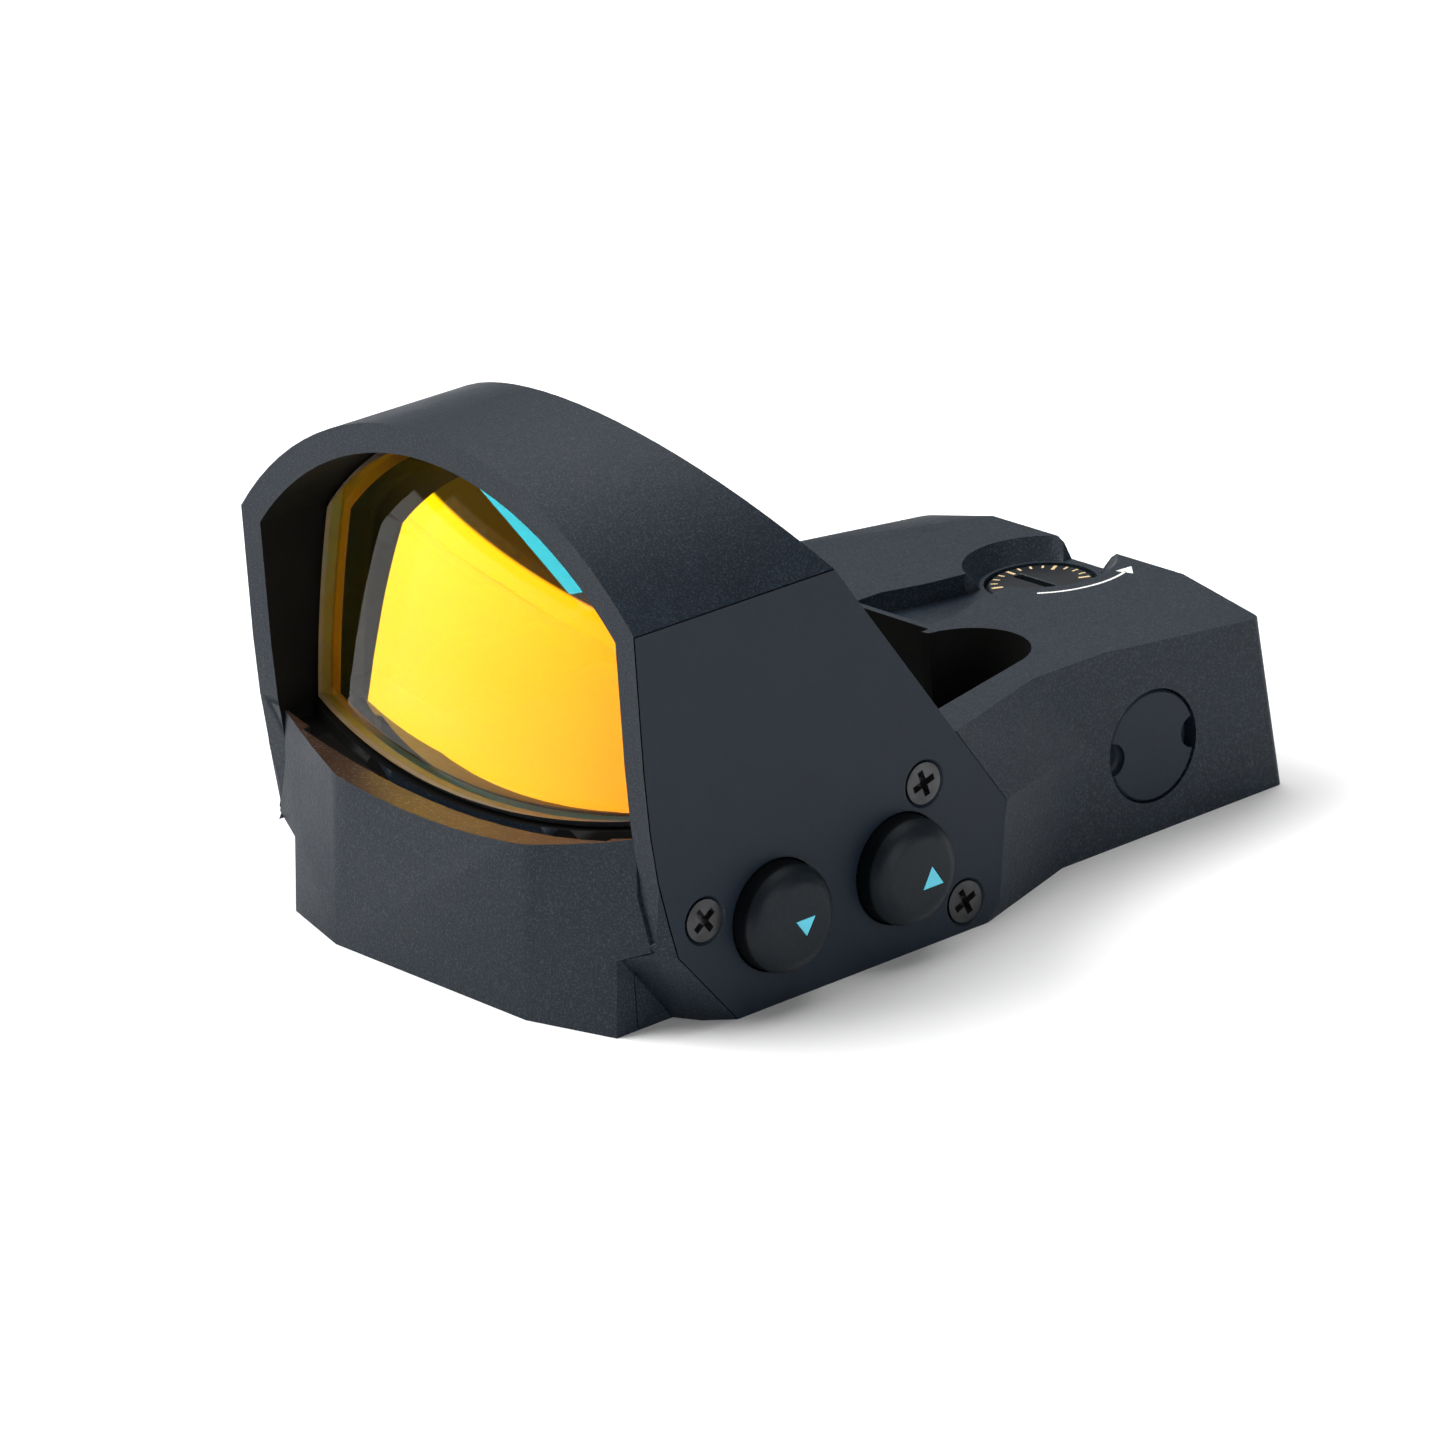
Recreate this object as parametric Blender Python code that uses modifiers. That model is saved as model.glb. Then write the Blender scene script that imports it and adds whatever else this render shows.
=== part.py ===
"""Open reflex (red dot) sight, modelled piece by piece.

Frame: X across the sight (+X is the side with the brightness buttons), Y along it
(-Y is the target side with the window, +Y is the eye side), Z up from the base plane.
The origin lies on the base plane, midway between the two mounting screw holes.

Dimensions below are in millimetres. Lengths along the sight are measured from the
front plane of the hood, and `at` places them in the frame above.
"""
from math import asin, cos, pi, radians, sin, sqrt

import bmesh
import bpy
from mathutils import Matrix, Vector

MM = 0.001
GAP = 0.05                    # clearance between pieces that touch
MOUNT_LINE = 29.0             # mounting screw holes, behind the hood's front plane

# Outer body
WIDTH = 33.0
HEIGHT = 30.0
HOOD_CORNER = 22.4            # height where the arched roof meets the flat sides
REAR_SLOPE = 0.676            # hood's rear face: run back for each unit down
REAR_TOP = 13.45              # hood's rear edge at the corner height
DECK = 11.3                   # height of the rear deck
REAR_BOTTOM = 47.0
REAR_DECK = 45.7
REAR_HALF = 13.72             # half width of the rear body
RIDGE = (24.25, 6.45)         # where the side plate's rear edge is furthest back
HEEL = 22.36                  # rear bottom corner of the side plate

# Window and lens
WALL = 1.6
SILL = 9.0                    # lowest point of the window's lower edge
SILL_RADIUS = 57.0
LENS_TILT = radians(10.7)
LENS_CENTRE = (1.8, 18.0)     # front vertex of the lens: back from the hood's face, height
LENS_RADIUS = 70.0
LENS_THICK = 1.8              # each of the two cemented elements
SHOULDER = 0.7                # step that the lens rests against
SEAL_THICK = 0.15
TROUGH = 0.75                 # depth of the trough between the lens and the drawer's ledge
LEDGE_END = 0.1               # where that trough starts
CEMENT = 0.06                 # layer between the two elements

# Battery drawer
CHIN_FRONT = -2.4
CHIN_FLAT = 8.1               # half width of the flat middle facet
CHIN_SLOPE = 0.279            # how fast the outer facets fall back, going outwards
CHIN_LEAN = 0.08              # and how fast the front leans back, going up
CHIN_BACK = 0.56
CHIN_FOOT = 13.65             # half width below the flared ends
CHIN_SIDE = [(CHIN_FOOT, 0.0), (CHIN_FOOT, 4.2), (15.73, 5.0), (14.88, 7.9), (14.81, 11.5)]
BAY_HALF = 11.25
BAY_LOW = 1.1
BAY_HIGH = 5.9
BAY_END = 21.35
CELL_RADIUS = 10.0
CELL_THICK = 3.2
CELL_Y = 10.6
CELL_LOW = 2.1
TRAY_HALF = 11.1
TRAY_TOP = 5.2

# Side cover, buttons and screws
COVER_THICK = 0.85
BUTTONS = {"down": 8.1, "up": 16.6}
BUTTON_Z = 4.9
BUTTON_RADIUS = 2.95
BUTTON_BORE = 3.08
BUTTON_TOP = 18.3
FLANGE_RADIUS = 3.35
KEYPAD_RADIUS = 3.4
COVER_SCREWS = {"front": (3.24, 6.04), "upper": (18.61, 9.06), "rear": (21.0, 1.65)}
HEAD_RADIUS = 1.22

# Adjustment dials
DIAL_Y = 42.1
DIAL_RADIUS = 3.1
GROOVE = 10.1                 # floor of the groove in the deck
CROSS_Y = 37.44               # windage axis
CROSS_Z = 5.0
SHANK_RADIUS = 0.9
RIDGE_STEP = 0.9              # spacing of the ridges that stand for the fine threads

# Cover under the adjustment cavity
BASE_SCREWS = {"front": (-5.65, 35.1), "rear": (5.65, 42.0)}
BASE_COVER_TOP = 0.85

HALF = WIDTH / 2
ROOF_RISE = HEIGHT - HOOD_CORNER
ROOF_RADIUS = (HALF ** 2 + ROOF_RISE ** 2) / (2 * ROOF_RISE)
ROOF_Z = HEIGHT - ROOF_RADIUS


# ---------------------------------------------------------------- scene and materials

def clear_scene():
    for item in list(bpy.data.objects):
        bpy.data.objects.remove(item, do_unlink=True)


def new_collection(name):
    made = bpy.data.collections.new(name)
    bpy.context.scene.collection.children.link(made)
    return made


def paint(name, colour, roughness, metallic=0.0, alpha=1.0):
    made = bpy.data.materials.new(name)
    made.use_nodes = True
    shader = made.node_tree.nodes["Principled BSDF"]
    shader.inputs["Base Color"].default_value = (*colour, 1.0)
    shader.inputs["Roughness"].default_value = roughness
    shader.inputs["Metallic"].default_value = metallic
    shader.inputs["Alpha"].default_value = alpha
    made.diffuse_color = (*colour, alpha)
    return made


clear_scene()
PARTS = new_collection("red_dot_sight")
CUTTERS = new_collection("cutters")

ANODISED = paint("black_anodised", (0.030, 0.034, 0.040), 0.45, 0.6)
COVER = paint("cover_black", (0.026, 0.030, 0.036), 0.40, 0.5)
RUBBER = paint("black_rubber", (0.018, 0.018, 0.020), 0.75)
BUTTON = paint("button_black", (0.020, 0.022, 0.026), 0.50)
BLACK_STEEL = paint("black_steel", (0.050, 0.050, 0.052), 0.35, 0.9)
STEEL = paint("steel", (0.62, 0.62, 0.64), 0.30, 1.0)
BRASS = paint("brass", (0.72, 0.53, 0.24), 0.30, 1.0)
COATED_GLASS = paint("coated_glass", (1.0, 0.72, 0.08), 0.03, 0.0, 0.45)
CLEAR_GLASS = paint("clear_glass", (0.85, 0.92, 0.92), 0.03, 0.0, 0.35)
BOARD = paint("circuit_board", (0.03, 0.18, 0.09), 0.50)
CHIP = paint("chip_black", (0.02, 0.02, 0.02), 0.40)
EMITTER = paint("emitter", (0.90, 0.12, 0.08), 0.20)


# ---------------------------------------------------------------- geometry helpers

def at(x, y, z):
    """A point in the part's frame from millimetres measured off the hood's front plane."""
    return Vector((x * MM, (y - MOUNT_LINE) * MM, z * MM))


def put(name, mesh_data, material=None):
    """Add an object: a part when it has a material, otherwise a hidden cutter."""
    made = bpy.data.objects.new(name, mesh_data)
    if material:
        mesh_data.materials.append(material)
        PARTS.objects.link(made)
    else:
        CUTTERS.objects.link(made)
        made.hide_render = True
        made.display_type = "WIRE"
    return made


def finish_mesh(name, bm, smooth=False):
    bmesh.ops.recalc_face_normals(bm, faces=bm.faces)
    data = bpy.data.meshes.new(name)
    bm.to_mesh(data)
    bm.free()
    if smooth:
        data.shade_smooth()
        data.set_sharp_from_angle(angle=radians(35))
    return data


def slab(name, outline, axis, low, high, material=None, far_outline=None):
    """Extrude a flat outline along an axis; far_outline gives the far end another shape.

    The outline's pairs are (y, z) for axis x, (x, z) for axis y and (x, y) for axis z.
    """
    def point(pair, level):
        if axis == "x":
            return at(level, pair[0], pair[1])
        if axis == "y":
            return at(pair[0], level, pair[1])
        return at(pair[0], pair[1], level)

    bm = bmesh.new()
    base = bm.faces.new([bm.verts.new(point(pair, low)) for pair in outline])
    swept = bmesh.ops.extrude_face_region(bm, geom=[base])["geom"]
    moved = [item for item in swept if isinstance(item, bmesh.types.BMVert)]
    ends = dict(zip([tuple(point(pair, low)) for pair in outline], far_outline or outline))
    keys = list(ends)
    for vert in moved:
        nearest = min(keys, key=lambda key: (Vector(key) - vert.co).length)
        vert.co = point(ends[nearest], high)
    return put(name, finish_mesh(name, bm), material)


def box(name, low, high, material=None):
    """A box between two corners given in millimetres."""
    first, last = at(*low), at(*high)
    bm = bmesh.new()
    bmesh.ops.create_cube(bm, size=1.0)
    size = last - first
    bmesh.ops.scale(bm, vec=size, verts=bm.verts)
    bmesh.ops.translate(bm, vec=(first + last) / 2, verts=bm.verts)
    return put(name, finish_mesh(name, bm), material)


TURN = {"z": Matrix(), "x": Matrix.Rotation(pi / 2, 4, "Y"), "y": Matrix.Rotation(-pi / 2, 4, "X")}


def rod(name, centre, axis, low, high, radius, material=None, far_radius=None, sides=36):
    """A cylinder or cone along an axis through centre, from low to high on that axis."""
    bm = bmesh.new()
    tip = radius if far_radius is None else far_radius
    bmesh.ops.create_cone(bm, cap_ends=True, segments=sides, radius1=radius * MM,
                          radius2=tip * MM, depth=(high - low) * MM)
    middle = (low + high) / 2
    spot = {"x": (middle, centre[0], centre[1]), "y": (centre[0], middle, centre[1]),
            "z": (centre[0], centre[1], middle)}[axis]
    made = put(name, finish_mesh(name, bm, smooth=True), material)
    made.matrix_world = Matrix.Translation(at(*spot)) @ TURN[axis]
    return made


def turned(name, centre, axis, profile, material, steps=36):
    """A turned piece: profile holds (radius, height) pairs, from the top down its outside."""
    bm = bmesh.new()
    chain = [bm.verts.new((radius * MM, 0.0, height * MM)) for radius, height in profile]
    closed = profile[0][0] > 0
    for first, second in zip(chain, chain[1:] + (chain[:1] if closed else [])):
        bm.edges.new((first, second))
    data = bpy.data.meshes.new(name)
    bm.to_mesh(data)
    bm.free()
    made = put(name, data, material)
    screw = made.modifiers.new("turn", "SCREW")
    screw.axis = "Z"
    screw.steps = steps
    screw.render_steps = steps
    screw.use_merge_vertices = True
    screw.merge_threshold = 0.000001
    screw.use_normal_calculate = False
    screw.use_smooth_shade = False
    spot = {"x": (0.0, centre[0], centre[1]), "z": (centre[0], centre[1], 0.0),
            "y": (centre[0], 0.0, centre[1])}[axis]
    made.matrix_world = Matrix.Translation(at(*spot)) @ TURN[axis]
    return made


def boolean(target, tool, operation):
    step = target.modifiers.new(tool.name, "BOOLEAN")
    step.operation = operation
    step.solver = "EXACT"
    step.object = tool


def cut(target, *tools):
    for tool in tools:
        boolean(target, tool, "DIFFERENCE")


def join(target, *tools):
    for tool in tools:
        boolean(target, tool, "UNION")


def keep_inside(target, tool):
    boolean(target, tool, "INTERSECT")


def half_box(name, low, high, point, normal):
    """The part of a box that lies beyond a plane."""
    made = box(name, low, high)
    bm = bmesh.new()
    bm.from_mesh(made.data)
    everything = bm.verts[:] + bm.edges[:] + bm.faces[:]
    bmesh.ops.bisect_plane(bm, geom=everything, plane_co=at(*point),
                           plane_no=Vector(normal), clear_inner=True)
    rim = [edge for edge in bm.edges if edge.is_boundary]
    bmesh.ops.holes_fill(bm, edges=rim, sides=len(rim))
    bmesh.ops.recalc_face_normals(bm, faces=bm.faces)
    bm.to_mesh(made.data)
    bm.free()
    return made


def centre_on(made, point):
    """Move an object's origin to a point in the frame without moving its shape."""
    made.data.transform(Matrix.Translation(made.location - point))
    made.location = point


def mirror_x(pairs):
    """A closed outline of (x, other) pairs from its right half."""
    return pairs + [(-x, other) for x, other in reversed(pairs)]


def arc(centre, radius, start, end, count):
    """Points on an arc; angles in degrees from the first coordinate axis."""
    angles = [radians(start + (end - start) * i / count) for i in range(count + 1)]
    return [(centre[0] + radius * cos(a), centre[1] + radius * sin(a)) for a in angles]


def grow(outline, distance):
    """Offset a closed outline outwards by a distance, with mitred corners."""
    area = sum(a[0] * b[1] - b[0] * a[1] for a, b in zip(outline, outline[1:] + outline[:1]))
    side = 1 if area > 0 else -1
    grown = []
    for i, here in enumerate(outline):
        before, after = outline[i - 1], outline[(i + 1) % len(outline)]
        first = Vector((here[0] - before[0], here[1] - before[1])).normalized()
        second = Vector((after[0] - here[0], after[1] - here[1])).normalized()
        out = Vector((first.y, -first.x)) + Vector((second.y, -second.x))
        reach = side * distance / max(0.2, out.length / 2)
        out.normalize()
        grown.append((here[0] + out.x * reach, here[1] + out.y * reach))
    return grown


def stadium(first, last, height, radius):
    """Outline of a slot with round ends, in (y, z)."""
    return (arc((first, height), radius, 270, 90, 14)
            + arc((last, height), radius, 90, -90, 14))


# ---------------------------------------------------------------- outlines

def roof_outline(inset, low):
    """Cross-section of the arched hood, inset from its outside, closed at height low."""
    radius = ROOF_RADIUS - inset
    half = HALF - inset
    angle = asin(half / radius) * 180 / pi
    top = arc((0, ROOF_Z), radius, 90 - angle, 90 + angle, 28)
    return [(half, low)] + top + [(-half, low)]


def window_outline(inset):
    """Opening that the lens fills: arched above, shallow bowl below."""
    radius = ROOF_RADIUS - WALL - inset
    half = HALF - WALL - inset
    angle = asin(half / radius) * 180 / pi
    top = arc((0, ROOF_Z), radius, 90 - angle, 90 + angle, 28)
    spread = asin(half / SILL_RADIUS) * 180 / pi
    bowl = arc((0, SILL + SILL_RADIUS), SILL_RADIUS - inset, 270 - spread, 270 + spread, 14)
    return top + bowl


def rear_line(z):
    """Distance back to the hood's sloping rear face at a height."""
    return REAR_TOP + (HOOD_CORNER - z) * REAR_SLOPE


COVER_OUTLINE = [
    (0.0, HOOD_CORNER), (0.0, 15.0), (0.12, 11.7), (0.4, 9.0), (0.92, 6.45), (1.36, 4.55),
    (5.0, 0.0), (HEEL, 0.0), (23.4, 0.9), RIDGE,
    (REAR_TOP, HOOD_CORNER),
]


# ---------------------------------------------------------------- housing

def make_housing():
    """One-piece housing: arched hood, battery bay and the low rear body."""
    top = HEIGHT + 1.5
    side = [(0.0, top), (0.0, 15.0), (0.12, 11.7), (0.4, 9.0), (0.4, 5.5), (-1.0, 4.6), (-1.0, 0.0),
            (REAR_BOTTOM, 0.0), (REAR_DECK, DECK), (rear_line(DECK), DECK), (rear_line(top), top)]
    housing = slab("main_housing", side, "x", -HALF - 3, HALF + 3, ANODISED)
    keep_inside(housing, slab("arch", roof_outline(0, -5), "y", -5, 60))
    for sign in (1, -1):
        shape_side(housing, sign)
    cut_window(housing)
    cut_wells(housing)
    cut_deck(housing)
    cut_battery_bay(housing)
    cut_side_cover(housing)
    cut_adjustment(housing)
    return housing


def shape_side(housing, sign):
    """Narrow the rear body, bevel its rear corners, shape the cheek and the finger grip."""
    label = "right" if sign > 0 else "left"
    low, high = sorted((sign * REAR_HALF, sign * 20))
    upper = half_box(f"taper_upper_{label}", (low, 15, -1), (high, 50, 20),
                     (sign * HALF, RIDGE[0], RIDGE[1]), (sign * 39.0, 13.43, 9.08))
    lower = half_box(f"taper_lower_{label}", (low, 15, -1), (high, 50, 20),
                     (sign * HALF, RIDGE[0], RIDGE[1]), (sign * 51.8, 17.93, -5.25))
    corner = half_box(f"rear_bevel_{label}", (min(0, sign * 20), 30, 8), (max(0, sign * 20), 50, 14),
                      (sign * 7.8, REAR_DECK, DECK), (sign * 0.21, 0.107, 1.0))
    low, high = sorted((sign * CHIN_FOOT, sign * 20))
    grip = half_box(f"grip_{label}", (low, -3, -1), (high, 6, 4.75),
                    (sign * HALF, 5.0, 0.0), (sign * 13.275, -13.05, -10.44))
    low, high = sorted((sign * CHIN_FOOT, sign * 16))
    nail = half_box(f"nail_pocket_{label}", (low, -3, -1), (high, 6, 4.75),
                    (sign * 15.72, 0.21, 5.0), (sign * 3.53, -7.34, -5.45))
    low, high = sorted((sign * 14.95, sign * 20))
    cheek = half_box(f"cheek_{label}", (low, -3, 4.65), (high, 3, 9.5),
                     (sign * HALF, 1.36, 4.55), (sign * 3.209, -2.5125, -0.57))
    cut(housing, upper, lower, corner, cheek, grip, nail)


def cut_window(housing):
    """Window through the hood, stepped so that the lens rests on a tilted shoulder."""
    through = slab("window_rear", window_outline(SHOULDER), "y", -5, 21)
    front = blank("window_front", -12.0, 2 * LENS_THICK + SEAL_THICK + 2 * GAP, None)
    keep_inside(front, slab("window_edge", window_outline(0), "y", -9, 30))
    floor = box("hood_floor", (-13.2, 8.0, 8.3), (13.2, 22.0, 14.5))
    trough = blank("sill_trough", -12.0, -0.06, None)
    keep_inside(trough, slab("trough_edge", scoop_outline(TROUGH, 14.8, 12.0), "y", CHIN_BACK - 0.2, 30))
    cut(housing, through, front, floor, trough)


def well_outline(sign, inset=0.0):
    """Pocket for a mounting screw: straight sides and a round rear end."""
    centre = (7.6, 29.6)
    right = [(3.3 + inset, 21.5 + inset), (13.55 - inset, 21.5 + inset)]
    right += arc(centre, 3.65 - inset, 18, 170, 16)
    right += [(3.3 + inset, 30.1)]
    return [(sign * x, y) for x, y in right]


def cut_wells(housing):
    for sign in (1, -1):
        label = "right" if sign > 0 else "left"
        well = slab(f"well_{label}", well_outline(sign), "z", 3.2, 16)
        hole = rod(f"mount_hole_{label}", (sign * 7.9, MOUNT_LINE), "z", -1, 5, 1.65)
        cut(housing, well, hole)
    cut(housing, box("light_path", (-3.5, 21.6, 6.3), (3.5, 30.7, 16)))


def cut_deck(housing):
    """Groove, dial pocket and rear notch in the deck."""
    groove = mirror_x([(3.05, 31.1), (3.05, 33.0), (2.2, 35.5), (1.7, 38.0), (1.7, 42.0)])
    notch = [(-1.5, GROOVE), (1.5, GROOVE), (2.6, 12.3), (-2.6, 12.3)]
    cut(housing,
        slab("groove", groove, "z", GROOVE, 14),
        rod("dial_dish", (0, DIAL_Y), "z", GROOVE, 12.5, 3.45, far_radius=5.25),
        rod("dial_pocket", (0, DIAL_Y), "z", 9.1, 12, DIAL_RADIUS + 0.1),
        slab("notch", notch, "y", DIAL_Y, 50))


def cut_battery_bay(housing):
    """Bay for the drawer, its seal recess, the board recess and the cable duct."""
    cut(housing,
        box("bay", (-BAY_HALF, -3, BAY_LOW), (BAY_HALF, BAY_END, BAY_HIGH)),
        box("bay_mouth", (-12.2, -3, 0.6), (12.2, 1.25, 6.45)),
        slab("chin_seat", mirror_x(chin_side(0.06)), "y", -3, CHIN_BACK + 0.06),
        box("board_recess", (-9.0, 7.0, 5.0), (9.0, 20.2, 7.5)),
        box("cable_duct", (-1.7, 19.5, 6.35), (1.7, 22.5, 7.4)),
        box("contact_recess", (-1.9, 12.6, 0.75), (1.9, 17.4, 2)),
        rod("detent_hole", (17.5, 3.2), "x", -12.3, -11, 0.56, sides=16))


def cut_side_cover(housing):
    """Seat for the side cover, the keypad cavity behind it and the screw holes."""
    inner = HALF - COVER_THICK - GAP
    seat = slab("cover_seat", grow(COVER_OUTLINE, GAP - COVER_THICK), "x", inner, HALF + 1.5,
                far_outline=grow(COVER_OUTLINE, 1.5 + 2 * GAP))
    cavity = slab("keypad_cavity", stadium(*BUTTONS.values(), BUTTON_Z, 3.55), "x", 12.15, 17)
    groove = slab("gasket_groove", stadium(*BUTTONS.values(), BUTTON_Z, 4.0), "x", 15.3, 17)
    duct = box("keypad_duct", (8.5, 11.0, 6.2), (13.0, 13.6, 7.2))
    cut(housing, seat, groove, cavity, duct)
    for label, spot in COVER_SCREWS.items():
        cut(housing, rod(f"screw_hole_{label}", spot, "x", 12.6, 17, 0.72, sides=24))


def cut_adjustment(housing):
    """Cavity for the emitter carriages with its window, bores and bottom recess."""
    cut(housing,
        box("emitter_bay_front", (-4.6, 31.7, -1), (4.6, 39.5, 8.6)),
        box("emitter_bay_rear", (-4.6, 39.0, -1), (4.6, 45.0, 7.9)),
        box("cover_recess", (-6.7, 31.3, -1), (6.7, 45.4, 0.9)),
        box("emitter_window_hole", (-1.75, 30, 5.7), (1.75, 32, 8.35)),
        rod("elevation_bore", (0, DIAL_Y), "z", 7, 10, 1.35, sides=32),
        rod("plug_bore", (CROSS_Y, CROSS_Z), "x", 12.0, 15, 3.22),
        rod("spring_bore", (CROSS_Y, CROSS_Z), "x", 3, 13, 1.6, sides=32),
        rod("windage_pocket", (CROSS_Y, CROSS_Z), "x", -15, -12.6, 3.22),
        rod("windage_seal_bore", (CROSS_Y, CROSS_Z), "x", -13, -11.4, 2.2, sides=32),
        rod("windage_bore", (CROSS_Y, CROSS_Z), "x", -12, -3, 1.05, sides=32))
    for label, spot in BASE_SCREWS.items():
        cut(housing, rod(f"base_hole_{label}", spot, "z", -1, 3.1, 0.55, sides=24))


# ---------------------------------------------------------------- lens

def make_lens():
    """Two cemented elements, ground to a curve and edged to the window's outline."""
    layers = {"lens_front_element": (0.0, LENS_THICK - CEMENT / 2),
              "lens_rear_element": (LENS_THICK + CEMENT / 2, 2 * LENS_THICK)}
    for name, (near, far) in layers.items():
        lens = blank(name, near, far, COATED_GLASS)
        keep_inside(lens, slab(f"{name}_edge", window_outline(0.12), "y", -9, 30))


def blank(name, near, far, material):
    """A tilted, turned meniscus between two distances behind the lens's front vertex."""
    made = turned(name, (0, LENS_CENTRE[1]), "y", dish(near, far), material, 40)
    made.matrix_world = (Matrix.Translation(at(0, *LENS_CENTRE))
                         @ Matrix.Rotation(-LENS_TILT, 4, "X") @ TURN["y"])
    return made


def dish(near, far):
    """Profile of a meniscus blank from its far face round to its near face."""
    reach = 19.0
    radii = [reach * i / 5 for i in range(6)]

    def sag(radius):
        return LENS_RADIUS - sqrt(LENS_RADIUS ** 2 - radius ** 2)

    outer = [(radius, far + sag(radius)) for radius in radii]
    inner = [(radius, near + sag(radius)) for radius in reversed(radii)]
    return outer + inner


def make_lens_seal():
    """Curved gasket between the lens's rear rim and the housing's shoulder."""
    back = 2 * LENS_THICK + GAP
    ring = blank("lens_seal", back, back + SEAL_THICK, RUBBER)
    keep_inside(ring, slab("lens_seal_edge", window_outline(0.15), "y", -9, 30))
    cut(ring, slab("lens_seal_hole", window_outline(SHOULDER), "y", -9, 40))


# ---------------------------------------------------------------- battery drawer

def chin_side(room):
    """Right half of the drawer front's outline in (x, z), with room all round."""
    (foot, _), *flare, (tip, top) = CHIN_SIDE
    sides = [(x + room, z - (0.7 * room if z < 6 else 0.0)) for x, z in flare]
    return [(foot + room, -room), *sides, (tip + room, top + room)]


def make_drawer():
    """Drawer front with its scooped top edge, and the tray that carries the cell."""
    drawer = box("battery_drawer", (-17, -3, 0), (17, CHIN_BACK, 11.5), ANODISED)
    keep_inside(drawer, slab("chin_side", mirror_x(chin_side(0.0)), "y", -5, 5))
    cut(drawer, half_box("chin_facet", (-18, -4, -1), (18, 2, 13), (0, CHIN_FRONT, 0), (0, -1, CHIN_LEAN)))
    for sign in (1, -1):
        low, high = sorted((sign * 6, sign * 18))
        cut(drawer, half_box(f"chin_facet_{sign}", (low, -4, -1), (high, 2, 13),
                             (sign * CHIN_FLAT, CHIN_FRONT, 0), (sign * CHIN_SLOPE, -1, CHIN_LEAN + 0.01)))
    scoop = slab("scoop", scoop_outline(0.0), "y", -5, 5)
    back_scoop = slab("scoop_rear", scoop_outline(TROUGH, 12.8), "y", LEDGE_END, 5)
    cut(drawer, scoop, back_scoop)
    tray = box("tray", (-TRAY_HALF, 0.3, 1.25), (TRAY_HALF, 21.1, TRAY_TOP))
    join(drawer, tray)
    cut(drawer, rod("cell_pocket", (0, CELL_Y), "z", CELL_LOW - GAP, 9, CELL_RADIUS + 0.15, sides=48),
        box("contact_slot", (-2.3, 7.0, 0), (2.3, 25, 4)))
    centre_on(drawer, at(0, CHIN_FRONT, 3.2))


def scoop_outline(drop, half=17.0, top=20.0):
    """Region above the scooped top edge of the drawer front."""
    spread = asin(half / (SILL_RADIUS + drop)) * 180 / pi
    bowl = arc((0, SILL + SILL_RADIUS), SILL_RADIUS + drop, 270 - spread, 270 + spread, 16)
    return bowl + [(half, top), (-half, top)]


def make_drawer_fittings():
    """Seal, coin cell, contacts and the detent ball that holds the drawer shut."""
    seal = box("drawer_seal", (-12.05, 0.62, 0.72), (12.05, 1.15, 6.3), RUBBER)
    cut(seal, box("drawer_seal_hole", (-TRAY_HALF - GAP, 0, 1.2), (TRAY_HALF + GAP, 3, TRAY_TOP + 0.2)))
    centre_on(seal, at(0, 0.9, 3.2))
    low, high = CELL_LOW, CELL_LOW + CELL_THICK
    step = 1.6
    turned("coin_cell", (0, CELL_Y), "z",
           [(0, high), (CELL_RADIUS - 0.3, high), (CELL_RADIUS, high - 0.3),
            (CELL_RADIUS, low + 0.5), (CELL_RADIUS - 0.3, low + 0.3), (CELL_RADIUS - step, low + 0.3),
            (CELL_RADIUS - step, low), (0, low)], STEEL, 40)
    leaf = slab("positive_contact", [(9.0, 6.52), (14.5, 6.52), (14.5, 6.32), (12.6, 6.32),
                                     (10.4, 5.38), (9.6, 5.38), (9.6, 5.56), (10.2, 5.56),
                                     (12.0, 6.32), (9.0, 6.32)], "x", -6.2, -4.4, BRASS)
    foot = slab("negative_contact", [(13.0, 0.82), (17.0, 0.82), (17.0, 1.02), (16.2, 1.02),
                                     (15.3, 2.02), (14.7, 2.02), (13.8, 1.02), (13.0, 1.02)],
                "x", -1.4, 1.4, BRASS)
    for piece in (leaf, foot):
        bevel_edges(piece, 0.04)
    bm = bmesh.new()
    bmesh.ops.create_uvsphere(bm, u_segments=12, v_segments=8, radius=0.5 * MM)
    ball = put("drawer_detent_ball", finish_mesh("drawer_detent_ball", bm, smooth=True), STEEL)
    ball.location = at(-BAY_HALF - 0.42, 17.5, 3.2)


def bevel_edges(piece, width, segments=1):
    step = piece.modifiers.new("edges", "BEVEL")
    step.width = width * MM
    step.segments = segments
    step.limit_method = "ANGLE"
    step.angle_limit = radians(40)


# ---------------------------------------------------------------- side cover and keypad

def make_side_cover():
    inner = HALF - COVER_THICK
    cover = slab("side_cover", grow(COVER_OUTLINE, -COVER_THICK), "x", inner, HALF, COVER,
                 far_outline=COVER_OUTLINE)
    for label, y in BUTTONS.items():
        cut(cover, rod(f"button_bore_{label}", (y, BUTTON_Z), "x", 14, 18, BUTTON_BORE))
    for label, spot in COVER_SCREWS.items():
        cut(cover, rod(f"screw_seat_{label}", spot, "x", HALF - 0.82, HALF + 0.3, 0.75,
                       far_radius=HEAD_RADIUS + 0.35, sides=24),
            rod(f"screw_pass_{label}", spot, "x", 15, 17, 0.71, sides=24))
    gasket = slab("cover_gasket", stadium(*BUTTONS.values(), BUTTON_Z, 3.95), "x", 15.35, inner - GAP,
                  RUBBER)
    cut(gasket, slab("gasket_hole", stadium(*BUTTONS.values(), BUTTON_Z, 3.6), "x", 14, 17))
    for label, spot in COVER_SCREWS.items():
        make_cover_screw(f"cover_screw_{label}", spot)


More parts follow.
